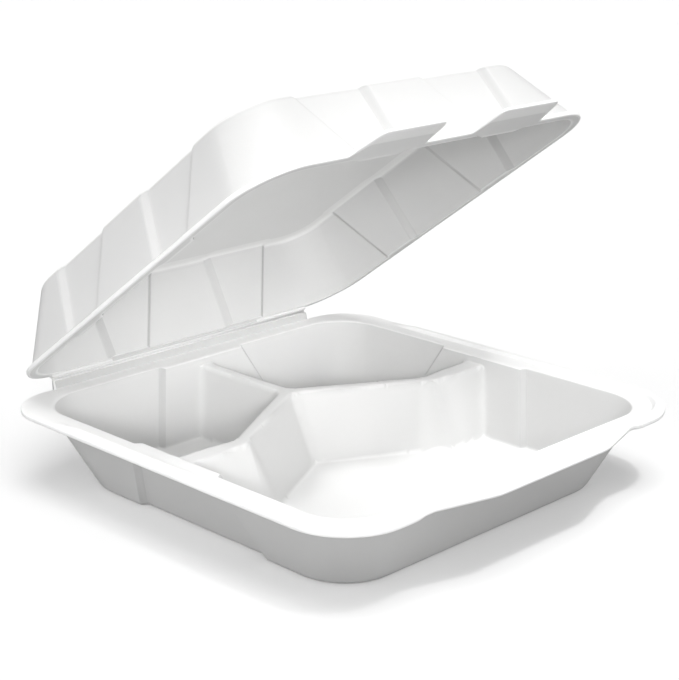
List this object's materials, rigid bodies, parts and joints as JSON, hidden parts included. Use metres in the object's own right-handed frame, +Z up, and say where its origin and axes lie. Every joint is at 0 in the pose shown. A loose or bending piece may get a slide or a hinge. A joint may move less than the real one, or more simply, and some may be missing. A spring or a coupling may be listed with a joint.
{
  "type": "foam clamshell container",
  "caption": "White foam take-out container: a divided tray and a fluted domed lid, folded at a foam hinge, with closing tabs and a wide front lip.",
  "frame": {"origin": "on the ground under the middle of the tray's square plan, on the underside's flat face", "axes": "+Z up, +X along the hinge to the right, +Y toward the hinge; the front lip is at -Y"},
  "size_m": [0.23, 0.2472, 0.192],
  "materials": {
    "foam": "matte white foam skin"
  },
  "bodies": {
    "base": {"base_tray": "foam"},
    "lid": {"lid": "foam"}
  },
  "joints": [
    {"name": "lid_hinge", "type": "hinge", "parent": "base", "child": "lid", "pos_m": [0, 0.11345, 0.04245], "axis": [-1, 0, 0], "range_deg": [-36.5, 144]}
  ]
}
